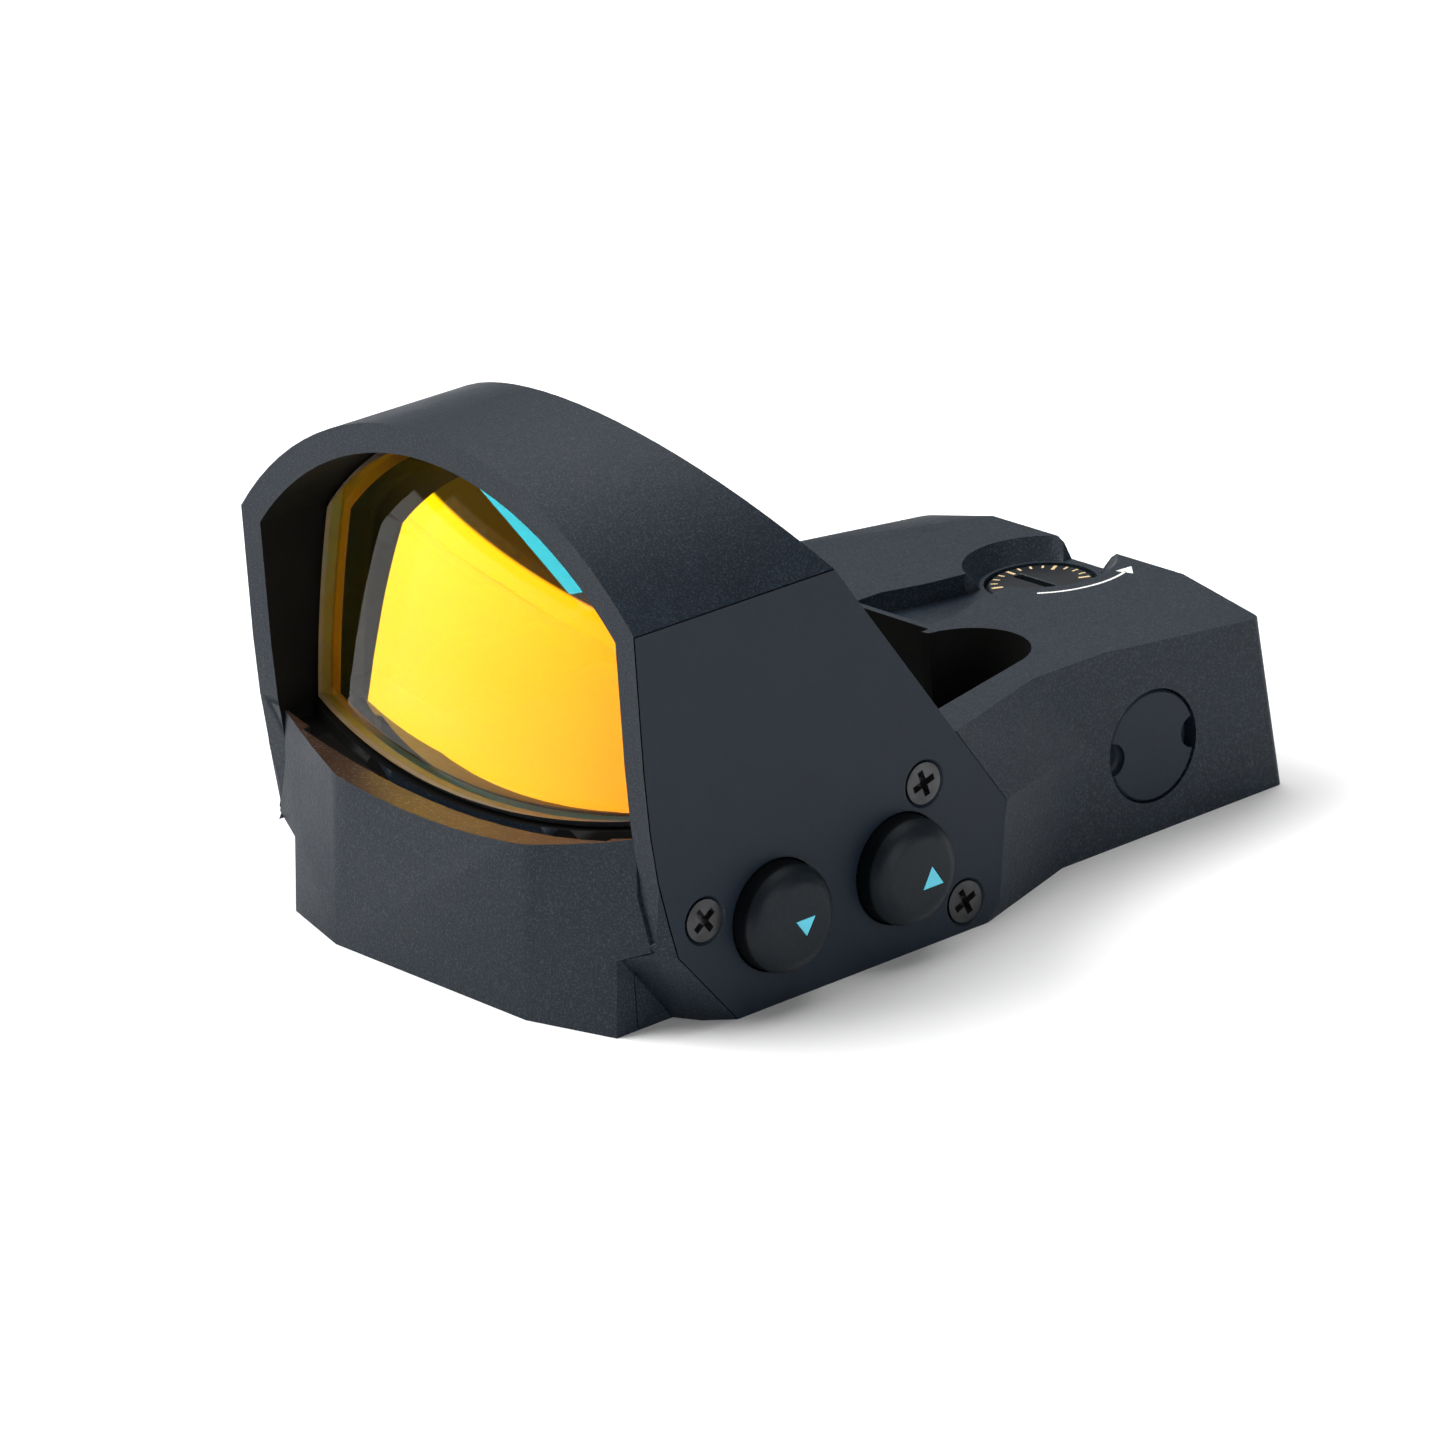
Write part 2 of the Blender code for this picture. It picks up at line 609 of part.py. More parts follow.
def make_cover_screw(name, spot):
    """Countersunk cross-recess screw with a ridged shank."""
    head = HALF - 0.04
    profile = [(0, head), (HEAD_RADIUS - 0.08, head), (HEAD_RADIUS, head - 0.08),
               (0.66, head - 0.72)]
    pitch = 0.4
    for i in range(3):
        top = head - 0.85 - i * pitch
        profile += [(0.5, top), (0.64, top - pitch / 2)]
    profile += [(0.5, 13.6), (0, 13.5)]
    screw = turned(name, spot, "x", profile, BLACK_STEEL, 20)
    add_cross(screw, name, spot)


def add_cross(screw, name, spot):
    """Cross recess, turned a little so that no two screws look machine-set."""
    angle = {"front": 0.62, "upper": 0.30, "rear": 0.40}.get(name.split("_")[-1], 0.0)
    for i in range(2):
        blade = box(f"{name}_slot_{i}", (15.95, -0.75, -0.17), (17, 0.75, 0.17))
        turn = Matrix.Rotation(angle + i * pi / 2, 4, "X")
        shift = Matrix.Translation(Vector((0, MOUNT_LINE * MM, 0)))
        place = Matrix.Translation(at(0, *spot))
        blade.matrix_world = place @ turn @ shift
        cut(screw, blade)


def make_keypad():
    """Board, switches, membrane and the two domed buttons."""
    outline = stadium(*BUTTONS.values(), BUTTON_Z, KEYPAD_RADIUS)
    slab("button_board", outline, "x", 12.2, 12.9, BOARD)
    slab("keypad_membrane", outline, "x", 14.1, 14.35, RUBBER)
    for label, y in BUTTONS.items():
        switch = box(f"{label}_switch", (12.95, y - 1.6, BUTTON_Z - 1.6),
                     (13.65, y + 1.6, BUTTON_Z + 1.6), STEEL)
        join(switch, rod(f"{label}_plunger", (y, BUTTON_Z), "x", 13.3, 14.05, 0.8, sides=20))
        profile = [(0, BUTTON_TOP), (1.0, BUTTON_TOP - 0.03), (1.9, BUTTON_TOP - 0.14)]
        profile += [(BUTTON_RADIUS - 1.0 + cos(a), BUTTON_TOP - 1.16 + sin(a))
                    for a in (radians(d) for d in (68, 34, 0))]
        profile += [(BUTTON_RADIUS, 15.58), (FLANGE_RADIUS, 15.58), (FLANGE_RADIUS, 14.9), (0, 14.9)]
        turned(f"{label}_button", (y, BUTTON_Z), "x", profile, BUTTON, 36)


# ---------------------------------------------------------------- adjustment

def ridged(low, high, radius, depth):
    """Profile points of a ridged (threaded) shank, from high to low."""
    points = []
    count = round((high - low) / RIDGE_STEP)
    for i in range(count):
        top = high - i * RIDGE_STEP
        points += [(radius - depth, top), (radius, top - RIDGE_STEP / 2)]
    return points


def make_elevation():
    """Top dial, its screw, seal and clip, and the carriage that the screw lifts."""
    turned("elevation_dial", (0, DIAL_Y), "z",
           [(0, 10.05), (DIAL_RADIUS - 0.2, 10.05), (DIAL_RADIUS, 9.85), (DIAL_RADIUS, 9.15),
            (1.25, 9.15), (1.25, 8.85), (0, 8.85)], ANODISED)
    cut(bpy.data.objects["elevation_dial"],
        box("elevation_slot", (-2.0, DIAL_Y - 0.3, 9.6), (2.0, DIAL_Y + 0.3, 11)))
    profile = [(0, 8.8), (1.2, 8.8), (1.2, 7.86), (SHANK_RADIUS - 0.1, 7.86),
               (SHANK_RADIUS - 0.1, 7.5)]
    profile += ridged(2.0, 7.5, SHANK_RADIUS, 0.12) + [(0.5, 1.8), (0, 1.8)]
    turned("elevation_screw", (0, DIAL_Y), "z", profile, BRASS, 20)
    turned("elevation_clip", (0, DIAL_Y), "z",
           [(1.9, 7.82), (1.9, 7.55), (0.85, 7.55), (0.85, 7.82)], STEEL, 32)
    carriage = box("elevation_carriage", (-3.9, 39.9, 3.3), (3.9, 44.3, 6.6), BRASS)
    join(carriage, box("carriage_shelf", (-3.9, 35.0, 1.65), (3.9, 44.3, 2.6)),
         box("carriage_web", (-3.9, 40.6, 2.0), (3.9, 44.3, 4.0)))
    cut(carriage, rod("carriage_thread", (0, DIAL_Y), "z", 0, 9, SHANK_RADIUS + 0.06, sides=28),
        rod("carriage_spring_seat", (0, DIAL_Y), "z", 0, 2.4, 1.9, sides=28))
    centre_on(carriage, at(0, DIAL_Y, CROSS_Z))
    coil("elevation_spring", (0, DIAL_Y), "z", BASE_COVER_TOP + 0.17, 2.25, 1.45, 0.12, 2)


def make_windage():
    """Side dial and screw on the left, spring and plug on the right, emitter carriage."""
    spot = (CROSS_Y, CROSS_Z)
    dial = turned("windage_dial", spot, "x",
                  [(0, -12.65), (DIAL_RADIUS, -12.65), (DIAL_RADIUS, -13.5),
                   (DIAL_RADIUS - 0.2, -13.68), (0, -13.68)], ANODISED)
    cut(dial, box("windage_slot", (-15, CROSS_Y - 2.0, CROSS_Z - 0.3),
                  (-13.2, CROSS_Y + 2.0, CROSS_Z + 0.3)))
    profile = [(0, 3.4), (0.5, 3.4)] + ridged(-4.0, 3.0, SHANK_RADIUS, 0.12)
    profile += [(SHANK_RADIUS, -4.2), (SHANK_RADIUS, -11.5), (1.35, -11.5), (1.35, -12.6), (0, -12.6)]
    turned("windage_screw", spot, "x", profile, BRASS, 20)
    turned("windage_seal_ring", spot, "x", torus_profile(1.77, -12.0, 0.36), RUBBER, 24)
    plug = turned("side_plug", spot, "x",
                  [(0, REAR_HALF - 0.02), (3.0, REAR_HALF - 0.02), (3.14, REAR_HALF - 0.14),
                   (3.14, 12.1), (0, 12.1)], ANODISED)
    for i, sign in enumerate((-1, 1)):
        cut(plug, rod(f"plug_notch_{i}", (CROSS_Y + sign * 3.05, CROSS_Z), "x", 12.9, 15, 0.95, sides=28))
    carriage = box("windage_carriage", (-2.9, 35.7, 2.75), (2.9, 39.1, 7.9), BRASS)
    cut(carriage, slab("carriage_slot", stadium_z(CROSS_Y, CROSS_Z - 0.55, CROSS_Z + 0.55,
                                                  SHANK_RADIUS + 0.06), "x", -5, 5))
    coil("windage_spring", spot, "x", 3.8, 11.4, 1.25, 0.14, 5)
    centre_on(carriage, at(0, CROSS_Y, CROSS_Z))


def stadium_z(y, low, high, radius):
    """Outline of an upright slot with round ends, in (y, z)."""
    return arc((y, high), radius, 0, 180, 12) + arc((y, low), radius, 180, 360, 12)


def torus_profile(major, height, minor):
    """Closed ring profile, running down its outer side first."""
    return [(major + minor * cos(a), height + minor * sin(a))
            for a in (pi / 2 - 2 * pi * i / 8 for i in range(8))]


def coil(name, centre, axis, low, high, radius, wire, turns):
    """A helical spring: a round wire swept along its path."""
    per_turn = 10
    count = turns * per_turn
    path = bpy.data.curves.new(name, "CURVE")
    path.dimensions = "3D"
    path.bevel_depth = wire * MM
    path.bevel_resolution = 1
    path.use_fill_caps = True
    spline = path.splines.new("POLY")
    spline.points.add(count)
    for i, point in enumerate(spline.points):
        angle = 2 * pi * i / per_turn
        rise = low + (high - low) * i / count
        point.co = (radius * cos(angle) * MM, radius * sin(angle) * MM, rise * MM, 1.0)
    path.materials.append(STEEL)
    made = bpy.data.objects.new(name, path)
    PARTS.objects.link(made)
    spot = {"x": (0.0, *centre), "z": (*centre, 0.0)}[axis]
    made.matrix_world = Matrix.Translation(at(*spot)) @ TURN[axis]


def make_emitter():
    """Emitter on its small board, the window before it and the cover below the bay."""
    board = box("emitter_board", (-1.3, 35.2, 5.9), (1.3, 35.65, 8.0), BOARD)
    led = box("emitter_diode", (-0.45, 34.85, 6.8), (0.45, 35.15, 7.6), EMITTER)
    for piece in (board, led):
        centre_on(piece, at(0, 35.4, 7.2))
    box("emitter_window", (-1.68, 30.95, 5.77), (1.68, 31.55, 8.28), CLEAR_GLASS)
    cover = box("base_cover", (-6.6, 31.4, 0.06), (6.6, 45.3, BASE_COVER_TOP), ANODISED)
    for label, spot in BASE_SCREWS.items():
        cut(cover, rod(f"base_seat_{label}", spot, "z", -0.2, 0.7, 1.35, far_radius=0.6, sides=28),
            rod(f"base_pass_{label}", spot, "z", -1, 2, 0.6, sides=28))
        turned(f"base_cover_screw_{label}", spot, "z",
               [(0, 2.9), (0.48, 2.7), (0.48, 0.75), (1.0, 0.16), (0, 0.16)], BLACK_STEEL, 28)
        screw = bpy.data.objects[f"base_cover_screw_{label}"]
        cut(screw, box(f"base_slot_{label}", (spot[0] - 0.75, spot[1] - 0.13, -1),
                       (spot[0] + 0.75, spot[1] + 0.13, 0.35)))


def make_electronics():
    """Main board in the roof of the battery bay, with its controller chip."""
    box("main_board", (-8.7, 7.3, 6.6), (8.7, 19.9, 7.3), BOARD)
    box("control_chip", (1.0, 11.5, 5.95), (4.4, 14.9, 6.55), CHIP)


make_housing()
make_lens()
make_lens_seal()
make_drawer()
make_drawer_fittings()
make_side_cover()
make_keypad()
make_elevation()
make_windage()
make_emitter()
make_electronics()
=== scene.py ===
"""Looks, light and camera for the reflex red dot sight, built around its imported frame."""

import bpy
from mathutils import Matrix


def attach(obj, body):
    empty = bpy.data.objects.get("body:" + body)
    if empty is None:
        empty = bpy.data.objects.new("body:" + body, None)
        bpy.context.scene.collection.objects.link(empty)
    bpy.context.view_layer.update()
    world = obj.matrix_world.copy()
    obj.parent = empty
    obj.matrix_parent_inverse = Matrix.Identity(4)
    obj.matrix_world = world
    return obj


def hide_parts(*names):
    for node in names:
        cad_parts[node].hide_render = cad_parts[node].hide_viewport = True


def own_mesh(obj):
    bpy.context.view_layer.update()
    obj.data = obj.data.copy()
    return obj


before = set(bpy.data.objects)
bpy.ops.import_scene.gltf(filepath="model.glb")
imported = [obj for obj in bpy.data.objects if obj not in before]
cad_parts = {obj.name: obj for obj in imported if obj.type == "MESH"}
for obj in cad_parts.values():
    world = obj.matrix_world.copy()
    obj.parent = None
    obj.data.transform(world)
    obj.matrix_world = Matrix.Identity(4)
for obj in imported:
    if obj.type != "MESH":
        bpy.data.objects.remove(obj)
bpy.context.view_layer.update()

from math import asin, cos, pi, radians, sin, sqrt

import bmesh
import bpy
from mathutils import Matrix, Vector

# lengths are in millimetres unless said otherwise, and depths run back from the hood's front plane
MM = 0.001
MOUNT_LINE = 29.0             # depth of the frame's origin
HALF = 16.5
ROOF_RADIUS = 21.711
ROOF_Z = 8.289
WALL = 1.6
SILL = 9.0
SILL_RADIUS = 57.0

LENS_TILT = radians(10.7)
LENS_CENTRE = (1.8, 18.0)
LENS_RADIUS = 70.0
LENS_THICK = 1.8
LENS_INSET = 0.12
LENS_CHAMFER = 0.4

BUTTONS = {"down": 8.1, "up": 16.6}                # depth of each button's middle
BUTTON_Z = 4.9
BUTTON_TOP = 18.3
BUTTON_RADIUS = 2.95
POCKET_DEPTH = 0.15
FLANGE_RADIUS = 3.35
FLANGE_FRONT = 15.56
FLANGE_BACK = 14.9
# depth, height and turn of the cross in degrees
SCREWS = {"front": (3.24, 6.04, 35.0), "upper": (18.61, 9.06, 17.0), "rear": (21.0, 1.65, 23.0)}
HEAD_RADIUS = 1.17
SHANK_END = 13.5              # how far in the cover screws' finished shanks reach

DIAL_Y = 42.1
DIAL_TOP = 10.05
TICKS = 24
ARROW_RADIUS = 5.33
DECK = 11.3
MARK_DEPTH = 0.04             # how far the deck's paint reaches into the metal
PAINT = 0.012                 # how far paint stands proud
WELLS = (21.0, 34.0)          # front and back of the wells in the deck
WELL_HALF = 13.6
THROAT_FOOT = 8.2             # where the dark space under the arch starts
LEDGE_FOOT = 8.6              # the ledge over the drawer lies above this
REAR_EDGE = 45.5              # the upright rear edges lie behind this
SOFT_CORNER = 0.45            # reach of the wide round on those edges
SHARP_ANGLE = 28.0            # degrees; edges flatter than this aren't broken
SHORT_EDGE = 0.25             # nor are edges shorter than this

SENSOR = 36.0                 # millimetres, like the focal length
FOCAL_LENGTH = 196.66
CARD = 2.00                   # brightness of the white card, and of the room above it
ROOM = 0.08
LIGHTS = {                    # place and size in metres, power in watts
    "key": ((-0.40, -0.38, 0.60), (0.6, 0.6), 8.0),
    "top": ((-0.20, 0.12, 0.80), (0.9, 0.9), 7.0),
    "fill": ((0.62, -0.05, 0.24), (0.5, 0.3), 1.7),
    "rim": ((-0.50, 0.45, 0.42), (0.5, 0.4), 0.35),
}
AIM = Vector((0, 0, 0.01))    # the point that the lights face


def at(x, y, z):
    """A point in the frame from millimetres measured off the hood's front plane."""
    return Vector((x * MM, (y - MOUNT_LINE) * MM, z * MM))


# ---------------------------------------------------------------- materials

def set_stops(band, stops):
    """Give a colour ramp its (position, grey or colour) stops."""
    while len(band.elements) < len(stops):
        band.elements.new(0.5)
    for element, (position, shade) in zip(band.elements, stops):
        element.position = position
        colour = shade if isinstance(shade, tuple) else (shade,) * 3
        element.color = (*colour, 1.0)


class Paint:
    """A material's node tree, with short ways to add and join its nodes."""

    def __init__(self, name):
        self.material = bpy.data.materials.new(name)
        self.material.use_nodes = True
        self.tree = self.material.node_tree
        self.tree.nodes.clear()
        self.output = self.tree.nodes.new("ShaderNodeOutputMaterial")

    def add(self, kind, **inputs):
        made = self.tree.nodes.new(kind)
        for key, value in inputs.items():
            self.set(made, key.replace("_", " "), value)
        return made

    def set(self, made, key, value):
        if isinstance(value, bpy.types.NodeSocket):
            self.tree.links.new(value, made.inputs[key])
        else:
            made.inputs[key].default_value = value

    def surface(self, shader):
        self.tree.links.new(shader.outputs[0], self.output.inputs["Surface"])
        return self.material

    def millimetres(self):
        """The piece's own coordinates, in millimetres."""
        place = self.add("ShaderNodeTexCoord").outputs["Object"]
        scaled = self.add("ShaderNodeVectorMath", Vector=place)
        scaled.operation = "SCALE"
        scaled.inputs["Scale"].default_value = 1000.0
        return scaled.outputs[0]

    def noise(self, where, scale, detail=2.0, roughness=0.5):
        return self.add("ShaderNodeTexNoise", Vector=where, Scale=scale, Detail=detail,
                        Roughness=roughness).outputs["Fac"]

    def ramp(self, value, *stops):
        """Map a value through (position, grey or colour) stops."""
        made = self.add("ShaderNodeValToRGB", Fac=value)
        set_stops(made.color_ramp, stops)
        return made.outputs["Color"]

    def blend(self, amount, first, second):
        made = self.add("ShaderNodeMix")
        made.data_type = "RGBA"
        for key, value in ((0, amount), (6, first), (7, second)):
            if isinstance(value, bpy.types.NodeSocket):
                self.tree.links.new(value, made.inputs[key])
            else:
                made.inputs[key].default_value = (*value, 1.0) if isinstance(value, tuple) else value
        return made.outputs[2]

    def bump(self, height, depth, strength=1.0, normal=None):
        made = self.add("ShaderNodeBump", Height=height, Distance=depth, Strength=strength)
        if normal:
            self.tree.links.new(normal, made.inputs["Normal"])
        return made.outputs["Normal"]


def anodised(name, base, roughness, grain, grain_scale=9.0, painted_glint=0.0, specular=0.20,
             sparkle=0.0):
    """Black anodised metal: blasted grain, faint cloudiness, and bright specks that are painted glints."""
    paint = Paint(name)
    where = paint.millimetres()
    cloud = paint.noise(where, 0.35, 3.0)
    fine = paint.noise(where, grain_scale, 3.0, 0.6)
    coarse = paint.noise(where, grain_scale * 0.35, 2.0)
    shade = paint.ramp(cloud, (0.3, tuple(c * 0.86 for c in base)), (0.7, tuple(c * 1.14 for c in base)))
    colour = paint.blend(paint.ramp(fine, (0.45, 0.0), (0.75, 0.35)), shade, tuple(c * 1.9 for c in base))
    if sparkle:
        points = paint.ramp(paint.noise(where, 9.0, 1.0, 0.5), (0.48, 0.0), (0.75, sparkle))
        colour = paint.blend(points, colour, (0.075, 0.085, 0.100))
    # painted highlight: bright specks that stand in for glints of light, not wear
    if painted_glint:
        painted_glint_mask = paint.ramp(paint.noise(where, 6.0, 4.0, 0.7), (0.56, 0.0), (0.66, painted_glint))
        colour = paint.blend(painted_glint_mask, colour, (0.20, 0.21, 0.22))
    gloss = paint.ramp(cloud, (0.3, roughness - 0.03), (0.7, roughness + 0.04))
    normal = paint.bump(fine, 0.012 * MM, grain)
    normal = paint.bump(coarse, 0.02 * MM, grain * 0.5, normal)
    shader = paint.add("ShaderNodeBsdfPrincipled", Base_Color=colour, Roughness=gloss, Normal=normal)
    shader.inputs["Specular IOR Level"].default_value = specular
    return paint.surface(shader)


def plain(name, base, roughness, metallic=0.0, grain=0.2, grain_scale=12.0, spread=0.12):
    """A simple surface with fine grain and a slight change of shade."""
    paint = Paint(name)
    where = paint.millimetres()
    cloud = paint.noise(where, 0.8, 3.0)
    colour = paint.ramp(cloud, (0.3, tuple(c * (1 - spread) for c in base)),
                        (0.7, tuple(min(1.0, c * (1 + spread)) for c in base)))
    gloss = paint.ramp(cloud, (0.3, max(0.02, roughness - 0.04)), (0.7, roughness + 0.04))
    normal = paint.bump(paint.noise(where, grain_scale, 3.0), 0.01 * MM, grain)
    shader = paint.add("ShaderNodeBsdfPrincipled", Base_Color=colour, Roughness=gloss, Normal=normal)
    shader.inputs["Metallic"].default_value = metallic
    return paint.surface(shader)


def brushed(name, base, roughness, axis):
    """Turned or rolled metal with fine lines along one axis."""
    paint = Paint(name)
    where = paint.millimetres()
    stretched = paint.add("ShaderNodeVectorMath", Vector=where)
    stretched.operation = "MULTIPLY"
    stretched.inputs[1].default_value = tuple(0.3 if key == axis else 22.0 for key in "xyz")
    lines = paint.noise(stretched.outputs[0], 1.0, 3.0)
    colour = paint.ramp(lines, (0.3, tuple(c * 0.92 for c in base)), (0.7, base))
    gloss = paint.ramp(lines, (0.3, roughness - 0.03), (0.7, roughness + 0.03))
    normal = paint.bump(lines, 0.002 * MM, 0.35)
    shader = paint.add("ShaderNodeBsdfPrincipled", Base_Color=colour, Roughness=gloss, Normal=normal)
    shader.inputs["Metallic"].default_value = 1.0
    return paint.surface(shader)


def clear_glass(name, tint):
    """Polished glass with an anti-reflection layer, so that little shines off it."""
    paint = Paint(name)
    shader = paint.add("ShaderNodeBsdfPrincipled")
    shader.inputs["Base Color"].default_value = (*tint, 1.0)
    shader.inputs["Transmission Weight"].default_value = 1.0
    shader.inputs["Roughness"].default_value = 0.0
    shader.inputs["IOR"].default_value = 1.45
    shader.inputs["Specular Tint"].default_value = (0.02, 0.02, 0.03, 1.0)
    return paint.surface(shader)


def dichroic(name):
    """Coating between the elements: mirrors yellow to orange and lets cyan through."""
    paint = Paint(name)
    where = paint.millimetres()
    axes = paint.add("ShaderNodeSeparateXYZ", Vector=where)
    across = paint.add("ShaderNodeMapRange", Value=axes.outputs["X"])
    across.inputs["From Min"].default_value = -13.0
    across.inputs["From Max"].default_value = 15.0
    mirrored = paint.ramp(across.outputs[0], (0.0, (0.90, 0.56, 0.001)), (0.35, (0.90, 0.49, 0.001)),
                          (0.7, (0.90, 0.35, 0.002)), (1.0, (0.90, 0.20, 0.004)))
    mirror = paint.add("ShaderNodeBsdfGlossy", Color=mirrored)
    mirror.inputs["Roughness"].default_value = 0.012
    through = paint.add("ShaderNodeBsdfTransparent")
    through.inputs["Color"].default_value = (0.0, 0.42, 0.50, 1.0)
    both = paint.add("ShaderNodeAddShader")
    paint.tree.links.new(mirror.outputs[0], both.inputs[0])
    paint.tree.links.new(through.outputs[0], both.inputs[1])
    return paint.surface(both)


def cement(name):
    """Optical cement: nothing happens to light at this face."""
    paint = Paint(name)
    through = paint.add("ShaderNodeBsdfTransparent")
    through.inputs["Color"].default_value = (0.92, 0.98, 1.0, 1.0)
    return paint.surface(through)


def bevelled_glass(name):
    """Ground chamfer of the lens: beige on the -X side, painted as light scattering through the ground
    glass there, and dark elsewhere.
    """
    paint = Paint(name)
    where = paint.millimetres()
    axes = paint.add("ShaderNodeSeparateXYZ", Vector=where)
    across = paint.add("ShaderNodeMapRange", Value=axes.outputs["X"])
    across.inputs["From Min"].default_value = -HALF
    across.inputs["From Max"].default_value = 0.0
    # painted light: beige at the -X edge, fading to dark by a quarter of the way across
    shade = paint.ramp(across.outputs[0], (0.12, (0.85, 0.62, 0.38)), (0.5, (0.05, 0.06, 0.07)))
    normal = paint.bump(paint.noise(where, 8.0, 3.0), 0.01 * MM, 0.5)
    return paint.surface(paint.add("ShaderNodeBsdfPrincipled", Base_Color=shade, Roughness=0.5,
                                   Normal=normal))


BODY = anodised("anodised_blasted", (0.0055, 0.0105, 0.0175), 0.46, 1.3, 5.5, sparkle=0.30)
# painted highlight: the body's broken edges are lighter, with glint specks, for the light caught along them
BODY_EDGE_HIGHLIGHT = anodised("anodised_edge_painted_highlight", (0.0170, 0.0230, 0.0310), 0.42, 1.2, 5.5, painted_glint=0.45, sparkle=0.4)
PLATE = anodised("anodised_machined", (0.0060, 0.0115, 0.0195), 0.46, 0.35, 12.0)
# painted shade: a darker, warmer finish for the shaded space under the arch and in the wells
INSIDE_SHADE = anodised("anodised_inside_painted_shade", (0.0050, 0.0045, 0.0042), 0.62, 0.3, 12.0, specular=0.10)
# painted reflection: warm brown with glint specks, standing in for the golden lens mirrored in the ledge
LEDGE_REFLECTION = anodised("anodised_ledge_painted_reflection", (0.0340, 0.0150, 0.0080), 0.45, 0.9, 6.0, painted_glint=0.4, specular=0.25)
# painted highlight: the plates' and dials' broken edges are lighter, with glint specks, for the light
# caught along them
PLATE_EDGE_HIGHLIGHT = anodised("anodised_machined_edge_painted_highlight", (0.0085, 0.0125, 0.0170), 0.40, 0.4, painted_glint=0.22)
DIAL = anodised("anodised_dial", (0.0050, 0.0065, 0.0085), 0.38, 0.25, 12.0)
BUTTON = anodised("button_coat", (0.0048, 0.0080, 0.0115), 0.46, 1.2, 5.5)
# painted shade: darker finish for the button caps' sides and pocket walls, where the gap shadows them
BUTTON_SIDE_SHADE = anodised("button_side_painted_shade", (0.0022, 0.0030, 0.0040), 0.50, 0.8, specular=0.12)
RUBBER = plain("black_rubber", (0.018, 0.018, 0.020), 0.72, 0.0, 0.5, 8.0)
SCREW = plain("screw_black_oxide", (0.055, 0.056, 0.058), 0.36, 0.85, 0.35, 10.0, 0.3)
STEEL = brushed("bright_steel", (0.60, 0.60, 0.62), 0.30, "x")
SPRING = brushed("spring_steel", (0.50, 0.49, 0.47), 0.28, "z")
BRASS = brushed("turned_brass", (0.74, 0.52, 0.24), 0.30, "x")
BOARD = plain("solder_mask", (0.012, 0.10, 0.045), 0.40, 0.0, 0.2, 5.0)
CHIP = plain("chip_moulding", (0.018, 0.018, 0.018), 0.55)
EMITTER = plain("emitter_epoxy", (0.75, 0.05, 0.03), 0.15, 0.0, 0.05)
GOLD = plain("gold_fill", (0.62, 0.46, 0.24), 0.55, 0.0, 0.4, 10.0)
WHITE = plain("white_fill", (0.74, 0.74, 0.72), 0.60, 0.0, 0.4, 10.0)
BLUE = plain("blue_fill", (0.105, 0.58, 0.74), 0.55, 0.0, 0.3, 10.0, 0.06)
GLASS = clear_glass("lens_glass", (1.0, 1.0, 1.0))
WINDOW_GLASS = clear_glass("window_glass", (0.90, 0.96, 0.96))
COATING = dichroic("dichroic_coating")
CEMENT = cement("optical_cement")
GROUND = plain("ground_glass", (0.46, 0.40, 0.31), 0.70, 0.0, 0.6, 6.0)
CHAMFER = bevelled_glass("ground_chamfer_painted_light")


# ---------------------------------------------------------------- pieces

def own(mesh_name, bm, slots, body, hide=(), crease=32.0):
    """Turn a bmesh into a piece that rides on a body and stands for the named CAD nodes."""
    data = bpy.data.meshes.new(mesh_name)
    bm.to_mesh(data)
    bm.free()
    for slot in slots:
        data.materials.append(slot)
    data.shade_smooth()
    data.set_sharp_from_angle(angle=radians(crease))
    made = bpy.data.objects.new(mesh_name, data)
    bpy.context.scene.collection.objects.link(made)
    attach(made, body)
    if hide:
        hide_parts(*hide)
    return made


def refine(node, body, slots, width, special=None, soft=None):
    """A CAD node's shape with its flat faces made whole and its edges broken.

    special tells from a face's centre in millimetres and its normal whether it takes the third slot.
    soft tells from an edge's two ends in millimetres whether it gets the wide round.
    """
    bm = bmesh.new()
    bm.from_mesh(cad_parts[node].data)
    bmesh.ops.remove_doubles(bm, verts=bm.verts, dist=0.002 * MM)
    bmesh.ops.dissolve_limit(bm, angle_limit=radians(0.5), verts=bm.verts, edges=bm.edges)
    wide = [edge for edge in bm.edges if soft and soft(*(end.co / MM for end in edge.verts))]
    if wide:
        bmesh.ops.bevel(bm, geom=wide, offset=SOFT_CORNER * MM, offset_type="OFFSET", segments=5,
                        profile=0.5, affect="EDGES", clamp_overlap=True)
    edges = [edge for edge in bm.edges if len(edge.link_faces) == 2
             and edge.calc_face_angle(0) > radians(SHARP_ANGLE) and edge.calc_length() > SHORT_EDGE * MM]
    broken = bmesh.ops.bevel(bm, geom=edges, offset=width * MM, offset_type="OFFSET", segments=2,
                             profile=0.5, affect="EDGES", clamp_overlap=True, loop_slide=False)
    # the broken edges take the second slot, a finish painted lighter as edge highlight
    for face in broken["faces"]:
        face.material_index = 1
    for face in bm.faces:
        spot = face.calc_center_median() / MM
        if special and special(spot.x, spot.y + MOUNT_LINE, spot.z, face.normal):
            face.material_index = 2
    made = own(f"{node}_finished", bm, slots, body, (node,), 40.0)
    weigh = made.modifiers.new("face_weighted_normals", "WEIGHTED_NORMAL")
    weigh.keep_sharp = True
    return made


def carry(material, *nodes):
    """Give CAD nodes that stay as they are a finished material."""
    for node in nodes:
        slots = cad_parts[node].material_slots
        for slot in slots:
            slot.material = material


def arc(centre, radius, start, end, count):
    """Points along an arc between two angles in degrees."""
    angles = [radians(start + (end - start) * i / count) for i in range(count + 1)]
    return [(centre[0] + radius * cos(a), centre[1] + radius * sin(a)) for a in angles]


